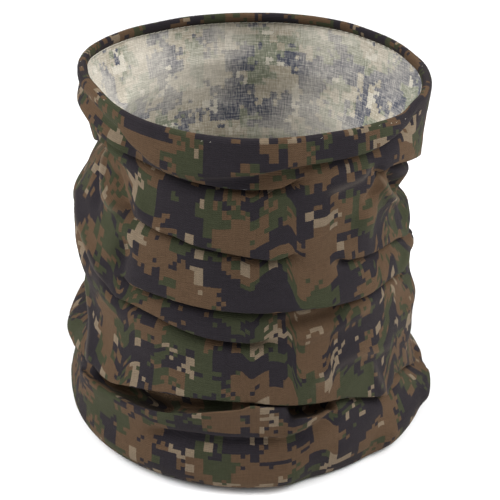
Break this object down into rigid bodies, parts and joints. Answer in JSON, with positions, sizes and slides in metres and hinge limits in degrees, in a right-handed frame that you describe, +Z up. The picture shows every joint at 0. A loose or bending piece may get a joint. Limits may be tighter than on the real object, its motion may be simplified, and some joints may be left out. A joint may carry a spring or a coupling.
{
  "type": "neck gaiter",
  "caption": "Soft knitted neck gaiter tube in a blocky camouflage print, with side seams and turned-in hems, pushed down into loose folds and standing open.",
  "frame": {"origin": "middle of the lower edge, on the surface the gaiter stands on", "axes": "+Z up the tube to the rim, -Y to the wearer's front, +X to the right seen from the front"},
  "size_m": [0.184, 0.184, 0.175],
  "materials": {
    "printed_knit": "matte fine knit, blocky camouflage print outside, pale washed-out print inside",
    "sewing_thread": "off-white spun sewing thread"
  },
  "bodies": {
    "root": {"front_panel": "printed_knit", "back_panel": "printed_knit", "left_seam_needle_thread": "sewing_thread", "left_seam_upper_looper_thread": "sewing_thread", "left_seam_lower_looper_thread": "sewing_thread", "right_seam_needle_thread": "sewing_thread", "right_seam_upper_looper_thread": "sewing_thread", "right_seam_lower_looper_thread": "sewing_thread", "top_hem_thread": "sewing_thread", "bottom_hem_thread": "sewing_thread"}
  },
  "joints": []
}
